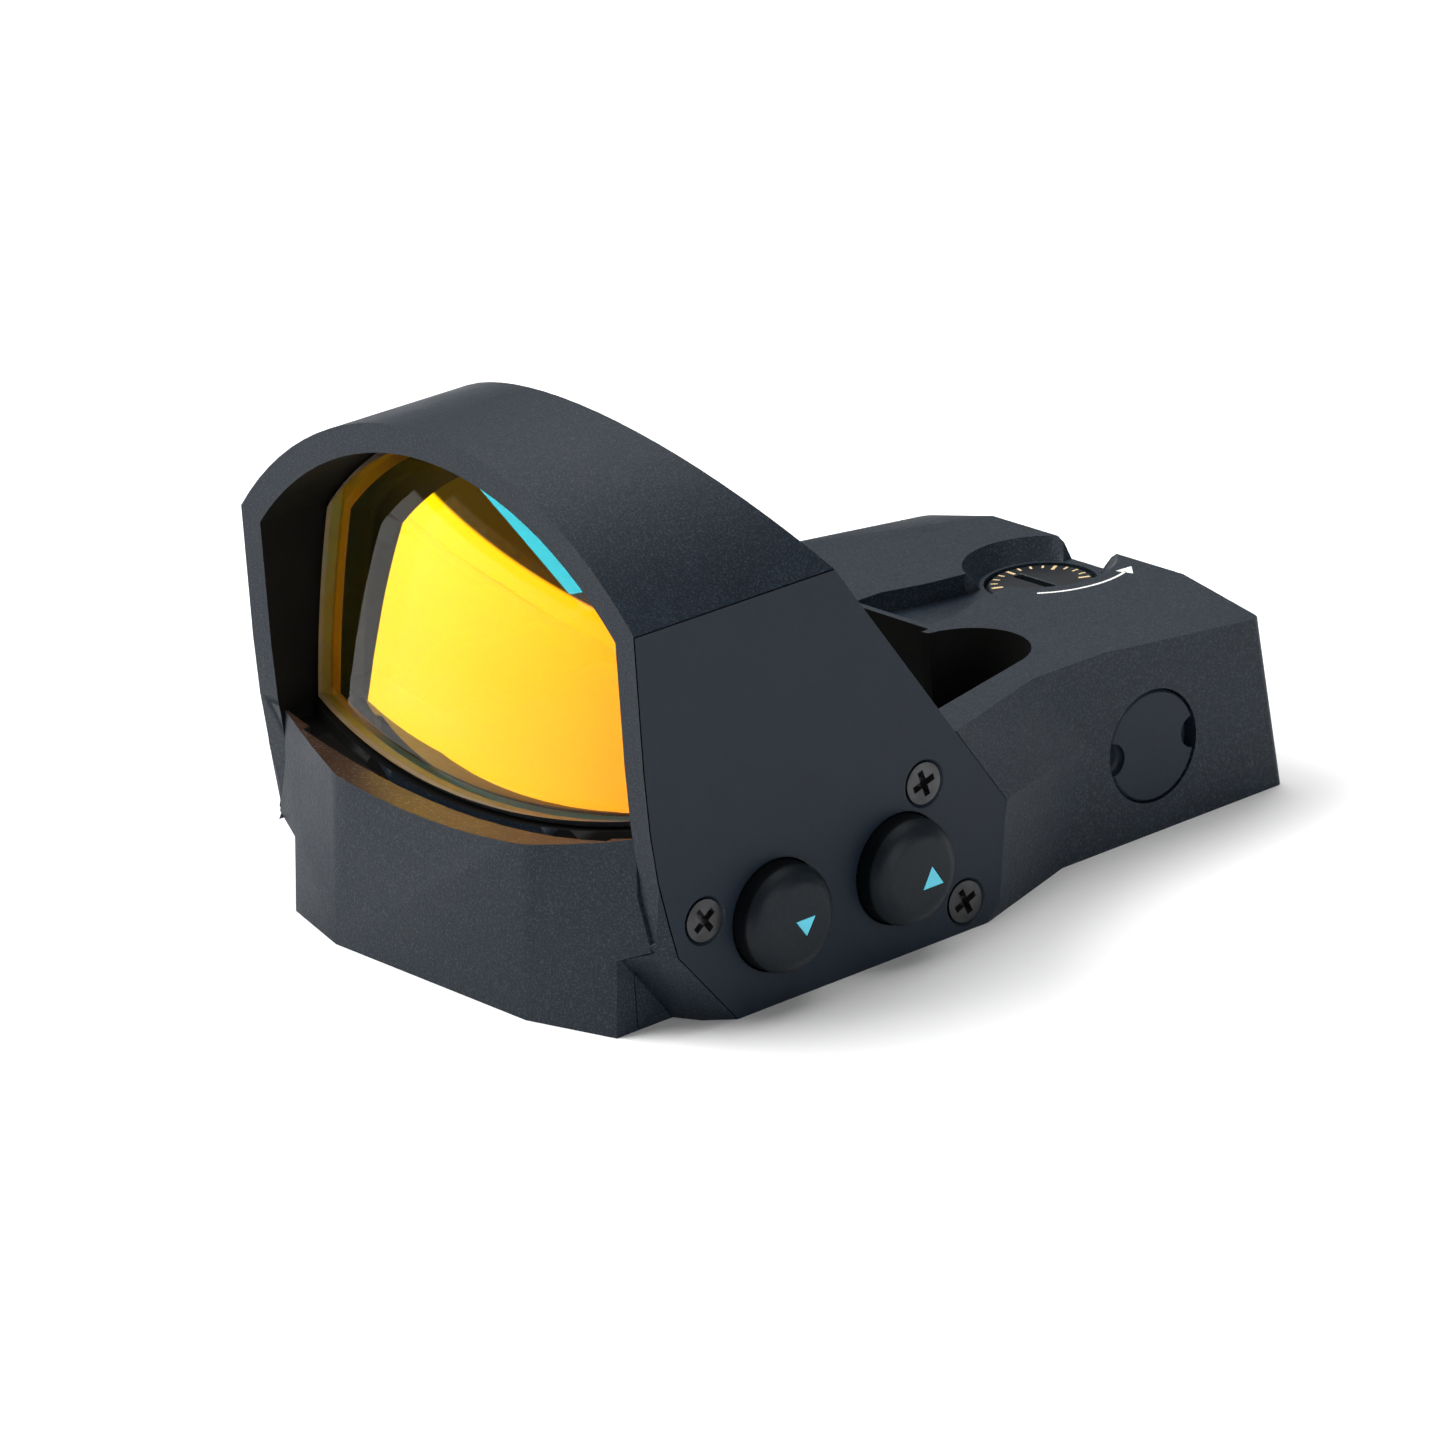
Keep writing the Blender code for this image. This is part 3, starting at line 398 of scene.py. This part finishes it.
def window_outline(inset):
    """The window's edge: arched above, straight sides, shallow bowl below."""
    radius = ROOF_RADIUS - WALL - inset
    half = HALF - WALL - inset
    angle = asin(half / radius) * 180 / pi
    top = arc((0, ROOF_Z), radius, 90 - angle, 90 + angle, 120)
    spread = asin(half / SILL_RADIUS) * 180 / pi
    bowl = arc((0, SILL + SILL_RADIUS), SILL_RADIUS - inset, 270 - spread, 270 + spread, 80)
    left = between(top[-1], bowl[0], 40)
    right = between(bowl[-1], top[0], 40)
    return top + left + bowl + right


def between(first, last, count):
    """Points strictly between two others."""
    return [tuple(a + (b - a) * i / count for a, b in zip(first, last)) for i in range(1, count)]


def lens_depth(x, z, depth):
    """How far back a lens surface lies, its vertex being depth behind the front one."""
    middle_y = LENS_CENTRE[0] + (LENS_RADIUS + depth) * cos(LENS_TILT)
    middle_z = LENS_CENTRE[1] - (LENS_RADIUS + depth) * sin(LENS_TILT)
    return middle_y - sqrt(LENS_RADIUS ** 2 - x ** 2 - (z - middle_z) ** 2)


def ring(bm, outline, share, depth, offset=0.0):
    """Vertices on a lens surface along an outline shrunk towards the lens's centre."""
    made = []
    for x, z in outline:
        px, pz = x * share, LENS_CENTRE[1] + (z - LENS_CENTRE[1]) * share
        made.append(bm.verts.new(at(px, lens_depth(px, pz, depth) + offset, pz)))
    return made


def bridge(bm, first, second, slot):
    """Join two rings of the same count with a band of faces."""
    for i in range(len(first)):
        j = (i + 1) % len(first)
        face = bm.faces.new((first[i], first[j], second[j], second[i]))
        face.material_index = slot


def cap(bm, centre, rim, slot):
    """Close a ring with a fan from one vertex."""
    for i in range(len(rim)):
        face = bm.faces.new((centre, rim[i], rim[(i + 1) % len(rim)]))
        face.material_index = slot


def lens_element(name, near, far, chamfer, slots, node):
    """One ground element: front surface, chamfer, ground rim, back surface."""
    rings = 40
    edge = window_outline(LENS_INSET)
    inner = window_outline(LENS_INSET + chamfer) if chamfer else edge
    bm = bmesh.new()
    middle = LENS_CENTRE[1]
    centre = bm.verts.new(at(0, lens_depth(0, middle, near), middle))
    fronts = [ring(bm, inner, (i + 1) / rings, near) for i in range(rings)]
    cap(bm, centre, fronts[0], 0)
    for first, second in zip(fronts, fronts[1:]):
        bridge(bm, first, second, 0)
    last = fronts[-1]
    if chamfer:
        outer = ring(bm, edge, 1.0, near, chamfer)
        bridge(bm, last, outer, 3)
        last = outer
    backs = [ring(bm, edge, 1.0 - i / rings, far) for i in range(rings)]
    bridge(bm, last, backs[0], 1)
    for first, second in zip(backs, backs[1:]):
        bridge(bm, first, second, 2)
    centre = bm.verts.new(at(0, lens_depth(0, middle, far), middle))
    cap(bm, centre, backs[-1], 2)
    bmesh.ops.recalc_face_normals(bm, faces=bm.faces)
    return own(name, bm, slots, "housing", (node,), 25.0)


def make_lens():
    """Two cemented elements, with the coating on the front one's back surface."""
    seam = 0.02
    lens_element("lens_front", 0.0, LENS_THICK - seam, LENS_CHAMFER,
                 (GLASS, GROUND, COATING, CHAMFER), "lens_front_element")
    lens_element("lens_rear", LENS_THICK + seam, 2 * LENS_THICK, 0.0,
                 (CEMENT, GROUND, GLASS), "lens_rear_element")


def turned(profile, steps):
    """A closed turned shape about the local Z axis from (radius, height) pairs, top down."""
    bm = bmesh.new()
    loops = []
    for radius, height in profile:
        if radius < 1e-6:
            loops.append([bm.verts.new((0, 0, height * MM))])
        else:
            loops.append([bm.verts.new((radius * cos(2 * pi * i / steps) * MM,
                                        radius * sin(2 * pi * i / steps) * MM, height * MM))
                          for i in range(steps)])
    for first, second in zip(loops, loops[1:]):
        if len(first) == 1:
            cap(bm, first[0], second, 0)
        elif len(second) == 1:
            cap(bm, second[0], first, 0)
        else:
            bridge(bm, first, second, 0)
    bmesh.ops.recalc_face_normals(bm, faces=bm.faces)
    return bm


def rounded(corners, radius, steps=5):
    """A profile with each inner corner replaced by a small round."""
    made = [corners[0]]
    for before, here, after in zip(corners, corners[1:], corners[2:]):
        spot = Vector(here)
        first, second = Vector(before) - spot, Vector(after) - spot
        reach = min(radius, first.length * 0.45, second.length * 0.45)
        start, end = spot + first.normalized() * reach, spot + second.normalized() * reach
        for i in range(steps + 1):
            t = i / steps
            point = start * (1 - t) ** 2 + spot * 2 * t * (1 - t) + end * t ** 2
            made.append(tuple(point))
    made.append(corners[-1])
    return made


SIDEWAYS = Matrix.Rotation(pi / 2, 4, "Y")


def prism(bm, outline, low, high):
    """Add a flat shape's extrusion along local Z; outline holds (x, y) pairs in mm."""
    base = [bm.verts.new((x * MM, y * MM, low * MM)) for x, y in outline]
    top = [bm.verts.new((x * MM, y * MM, high * MM)) for x, y in outline]
    faces = [bm.faces.new(base), bm.faces.new(top)]
    for i in range(len(base)):
        j = (i + 1) % len(base)
        faces.append(bm.faces.new((base[i], base[j], top[j], top[i])))
    bmesh.ops.recalc_face_normals(bm, faces=faces)
    return bm


def carve(target, bm, name, slots):
    """Cut a shape out of a piece for good, leaving the cut faces in the tool's materials."""
    data = bpy.data.meshes.new(name)
    bm.to_mesh(data)
    bm.free()
    for slot in slots:
        data.materials.append(slot)
    tool = bpy.data.objects.new(name, data)
    bpy.context.scene.collection.objects.link(tool)
    step = target.modifiers.new(name, "BOOLEAN")
    step.operation = "DIFFERENCE"
    step.solver = "EXACT"
    step.material_mode = "TRANSFER"
    step.object = tool
    graph = bpy.context.evaluated_depsgraph_get()
    result = bpy.data.meshes.new_from_object(target.evaluated_get(graph), depsgraph=graph)
    target.modifiers.remove(step)
    old = target.data
    target.data = result
    bpy.data.meshes.remove(old)
    bpy.data.objects.remove(tool)
    target.data.shade_smooth()
    target.data.set_sharp_from_angle(angle=radians(32))


def triangle(width, height, turn, centre):
    """Corners of an isosceles triangle that points along +Y before it is turned."""
    c, s = cos(radians(turn)), sin(radians(turn))
    corners = [(-width / 2, -height / 2), (width / 2, -height / 2), (0, height / 2)]
    return [(centre[0] + x * c - y * s, centre[1] + x * s + y * c) for x, y in corners]


def make_buttons():
    """Domed, blasted caps with a paint-filled triangle cut into each."""
    marks = {"down": triangle(1.45, 1.05, 180, (8.5, 4.5)), "up": triangle(1.55, 1.25, 0, (17.3, 4.7))}
    for label, y in BUTTONS.items():
        profile = rounded([(0, BUTTON_TOP), (1.0, BUTTON_TOP - 0.01), (2.1, BUTTON_TOP - 0.06),
                           (2.62, BUTTON_TOP - 0.42), (BUTTON_RADIUS, BUTTON_TOP - 0.95),
                           (BUTTON_RADIUS, FLANGE_FRONT + 0.04), (FLANGE_RADIUS, FLANGE_FRONT),
                           (FLANGE_RADIUS, FLANGE_BACK), (0, FLANGE_BACK)], 0.22)
        bm = turned(profile, 96)
        bmesh.ops.transform(bm, matrix=Matrix.Translation(at(0, y, BUTTON_Z)) @ SIDEWAYS, verts=bm.verts)
        # painted shade: the caps' sides, and below the pocket walls, take the darker second slot
        for face in bm.faces:
            face.material_index = 1 if abs(face.normal.x) < 0.3 else 0
        cap_piece = own(f"{label}_button_cap", bm, (BUTTON, BUTTON_SIDE_SHADE), f"{label}_key",
                        (f"{label}_button",), 50.0)
        pocket = prism(bmesh.new(), marks[label], -1.0, 1.0)
        place(pocket, BUTTON_TOP + 1.0 - POCKET_DEPTH)
        carve(cap_piece, pocket, f"{label}_pocket", (BUTTON_SIDE_SHADE,))
        middle = [sum(axis) / 3 + shift for axis, shift in zip(zip(*marks[label]), (0.05, -0.05))]
        smaller = [tuple(m + 0.9 * (c - m) for m, c in zip(middle, corner)) for corner in marks[label]]
        fill = prism(bmesh.new(), smaller, -0.12, 0.075)
        place(fill, BUTTON_TOP - 0.10)
        own(f"{label}_mark", fill, (BLUE,), f"{label}_key")


def place(bm, x):
    """Stand a flat (y, z) drawing up so that it faces +X at a distance x."""
    upright = Matrix(((0, 0, 1, 0), (1, 0, 0, 0), (0, 1, 0, 0), (0, 0, 0, 1)))
    shift = Matrix.Translation(Vector((x * MM, -MOUNT_LINE * MM, 0)))
    bmesh.ops.transform(bm, matrix=shift @ upright, verts=bm.verts)


def make_screws():
    """Countersunk screws with tapered cross recesses."""
    head = HALF - 0.04
    for label, (y, z, turn) in SCREWS.items():
        profile = rounded([(0, head), (HEAD_RADIUS, head), (HEAD_RADIUS - 0.03, head - 0.12),
                           (0.66, head - 0.72), (0.6, SHANK_END + 0.2), (0.45, SHANK_END), (0, SHANK_END)],
                          0.07, 3)
        bm = turned(profile, 64)
        spot = Matrix.Translation(at(0, y, z))
        bmesh.ops.transform(bm, matrix=spot @ SIDEWAYS, verts=bm.verts)
        screw = own(f"cover_screw_{label}_finished", bm, (SCREW,), "housing", (f"cover_screw_{label}",))
        for i in range(2):
            cross = bmesh.new()
            blade = wedge(cross, 0.78, 0.62, 0.20, 0.15, head - 0.52, head + 0.1)
            angle = Matrix.Rotation(radians(turn + 90 * i), 4, "Z")
            bmesh.ops.transform(cross, matrix=spot @ SIDEWAYS @ angle, verts=blade)
            carve(screw, cross, f"cross_{label}_{i}", (SCREW,))


def wedge(bm, top_long, low_long, top_thick, low_thick, low, high):
    """A tapered blade about local Z; returns its vertices."""
    made = bmesh.ops.create_cube(bm, size=2.0)["verts"]
    for vert in made:
        up = vert.co.z > 0
        vert.co.x *= (top_long if up else low_long) * MM
        vert.co.y *= (top_thick if up else low_thick) * MM
        vert.co.z = (high if up else low) * MM
    return made


def spoke(radius, angle):
    """The point at a radius and an angle in degrees."""
    return radius * cos(radians(angle)), radius * sin(radians(angle))


def make_markings():
    """Generic marks: a ring of ticks on the dial and a curved arrow on the deck."""
    dial = bmesh.new()
    for i in range(TICKS):
        turn = radians(360 / TICKS * i)
        long = i % 4 == 0
        inner, outer, half = (2.15 if long else 2.4), 2.8, (0.10 if long else 0.065)
        corners = [(inner, -half), (outer, -half), (outer, half), (inner, half)]
        c, s = cos(turn), sin(turn)
        prism(dial, [(x * c - y * s, x * s + y * c) for x, y in corners], DIAL_TOP - 0.03, DIAL_TOP + PAINT)
    bmesh.ops.translate(dial, vec=at(0, DIAL_Y, 0), verts=dial.verts)
    own("dial_ticks", dial, (GOLD,), "elevation_adjuster")
    deck = bmesh.new()
    start, end, tip = -44, 20, 30
    band = (arc((0, 0), ARROW_RADIUS + 0.09, start, end, 24)
            + arc((0, 0), ARROW_RADIUS - 0.09, end, start, 24))
    barbs = [spoke(ARROW_RADIUS + side, end - 1) for side in (-0.55, 0.55)]
    head = [spoke(ARROW_RADIUS, tip)] + barbs
    for outline in (band, head):
        prism(deck, outline, DECK - MARK_DEPTH, DECK + PAINT)
    bmesh.ops.translate(deck, vec=at(0, DIAL_Y, 0), verts=deck.verts)
    own("deck_marks", deck, (WHITE,), "housing")


def inside_hood(x, y, z, normal):
    """Faces of the space under the arch, and of the wells behind it, which take the darker finish painted
    as shade.
    """
    slack = 0.05
    below_roof = x ** 2 + (z - ROOF_Z) ** 2 < (ROOF_RADIUS - WALL + slack) ** 2
    between_walls = abs(x) < HALF - WALL + slack
    above_sill = z > THROAT_FOOT and y < WELLS[0]
    rim = abs(normal.y) >= 0.35 and not 1 < y < 8
    in_wells = z < DECK - 1.5 and abs(x) < WELL_HALF and WELLS[0] < y < WELLS[1]
    return (below_roof and between_walls and above_sill and not rim) or in_wells


def rear_corner(first, second):
    """The two upright edges between the sides and the back face."""
    behind = min(first.y, second.y) + MOUNT_LINE > REAR_EDGE
    return behind and abs(first.x - second.x) < 0.1 and abs(first.z - second.z) > 5


def on_ledge(x, y, z, normal):
    """The drawer front's top face, below the lens, which takes the warm finish painted as the lens's golden
    reflection.
    """
    return normal.z > 0.7 and z > LEDGE_FOOT


def make_metal():
    """The blasted and machined shells, with broken edges."""
    refine("main_housing", "housing", (BODY, BODY_EDGE_HIGHLIGHT, INSIDE_SHADE), 0.10, special=inside_hood,
           soft=rear_corner)
    refine("side_cover", "housing", (PLATE, PLATE_EDGE_HIGHLIGHT), 0.07)
    refine("battery_drawer", "drawer", (BODY, BODY_EDGE_HIGHLIGHT, LEDGE_REFLECTION), 0.10, special=on_ledge)
    refine("side_plug", "housing", (PLATE, PLATE_EDGE_HIGHLIGHT), 0.07)
    refine("elevation_dial", "elevation_adjuster", (DIAL, PLATE_EDGE_HIGHLIGHT), 0.06)
    refine("windage_dial", "windage_adjuster", (DIAL, PLATE_EDGE_HIGHLIGHT), 0.06)
    refine("base_cover", "housing", (PLATE, PLATE_EDGE_HIGHLIGHT), 0.06)


def make_carriage_spring():
    """The coil under the emitter's carriage, copied whole from its CAD node; this piece doesn't shorten as
    the carriage goes down.
    """
    bm = bmesh.new()
    bm.from_mesh(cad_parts["elevation_spring"].data)
    coil = own("elevation_spring_finished", bm, (SPRING,), "housing", ("elevation_spring",))
    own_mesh(coil)


def carry_over():
    """Finish the CAD solids that keep their shapes."""
    carry(RUBBER, "lens_seal", "drawer_seal", "cover_gasket", "keypad_membrane", "windage_seal_ring")
    carry(STEEL, "coin_cell", "drawer_detent_ball", "down_switch", "up_switch", "elevation_clip")
    carry(SPRING, "windage_spring")
    carry(BRASS, "positive_contact", "negative_contact", "elevation_screw", "elevation_carriage",
          "windage_screw", "windage_carriage")
    carry(BOARD, "button_board", "main_board", "emitter_board")
    carry(CHIP, "control_chip")
    carry(EMITTER, "emitter_diode")
    carry(WINDOW_GLASS, "emitter_window")
    carry(SCREW, "base_cover_screw_front", "base_cover_screw_rear")


# ---------------------------------------------------------------- stage, light and camera

def make_floor():
    """A sheet of white paper."""
    bm = bmesh.new()
    bmesh.ops.create_grid(bm, x_segments=1, y_segments=1, size=0.5)
    data = bpy.data.meshes.new("floor")
    bm.to_mesh(data)
    bm.free()
    floor = bpy.data.objects.new("floor", data)
    bpy.context.scene.collection.objects.link(floor)
    paint = Paint("white_paper")
    shade = paint.ramp(paint.noise(paint.millimetres(), 0.02, 3.0), (0.3, 0.90), (0.7, 0.93))
    data.materials.append(paint.surface(paint.add("ShaderNodeBsdfPrincipled", Base_Color=shade,
                                                  Roughness=0.8)))


def make_lights():
    """Soft boxes around the sight."""
    for name, (spot, size, power) in LIGHTS.items():
        data = bpy.data.lights.new(name, "AREA")
        data.shape = "RECTANGLE"
        data.size, data.size_y = size
        data.energy = power
        made = bpy.data.objects.new(name, data)
        bpy.context.scene.collection.objects.link(made)
        made.location = spot
        made.rotation_euler = (AIM - Vector(spot)).to_track_quat("-Z", "Y").to_euler()


def make_world():
    """White below the horizon, dark room above, so that the coating mirrors both."""
    world = bpy.data.worlds.new("white_studio")
    bpy.context.scene.world = world
    world.use_nodes = True
    tree = world.node_tree
    sky = tree.nodes["Background"]
    place = tree.nodes.new("ShaderNodeTexCoord")
    axes = tree.nodes.new("ShaderNodeSeparateXYZ")
    tree.links.new(place.outputs["Generated"], axes.inputs[0])
    band = tree.nodes.new("ShaderNodeValToRGB")
    tree.links.new(axes.outputs["Z"], band.inputs["Fac"])
    set_stops(band.color_ramp, ((0.0, 1.0), (0.0005, 1.0), (0.0025, ROOM / CARD), (1.0, ROOM / CARD)))
    tree.links.new(band.outputs["Color"], sky.inputs["Color"])
    sky.inputs["Strength"].default_value = CARD


def make_camera():
    """A long lens at the height and angle the sight is seen from."""
    data = bpy.data.cameras.new("camera")
    data.sensor_width = SENSOR
    data.lens = FOCAL_LENGTH
    data.clip_start = 0.01
    data.clip_end = 10.0
    made = bpy.data.objects.new("camera", data)
    right = Vector((0.64620, 0.76035, -0.06555))
    up = Vector((-0.22432, 0.27133, 0.93599))
    back = Vector((0.72947, -0.59012, 0.34590))
    made.matrix_world = Matrix.Translation((0.31084, -0.26180, 0.15591)) @ Matrix(
        (right, up, back)).transposed().to_4x4()
    bpy.context.scene.collection.objects.link(made)
    bpy.context.scene.camera = made


make_camera()
make_world()
make_floor()
make_lights()
make_metal()
make_lens()
make_buttons()
make_screws()
make_markings()
make_carriage_spring()
carry_over()
bpy.context.scene.view_settings.view_transform = "Standard"
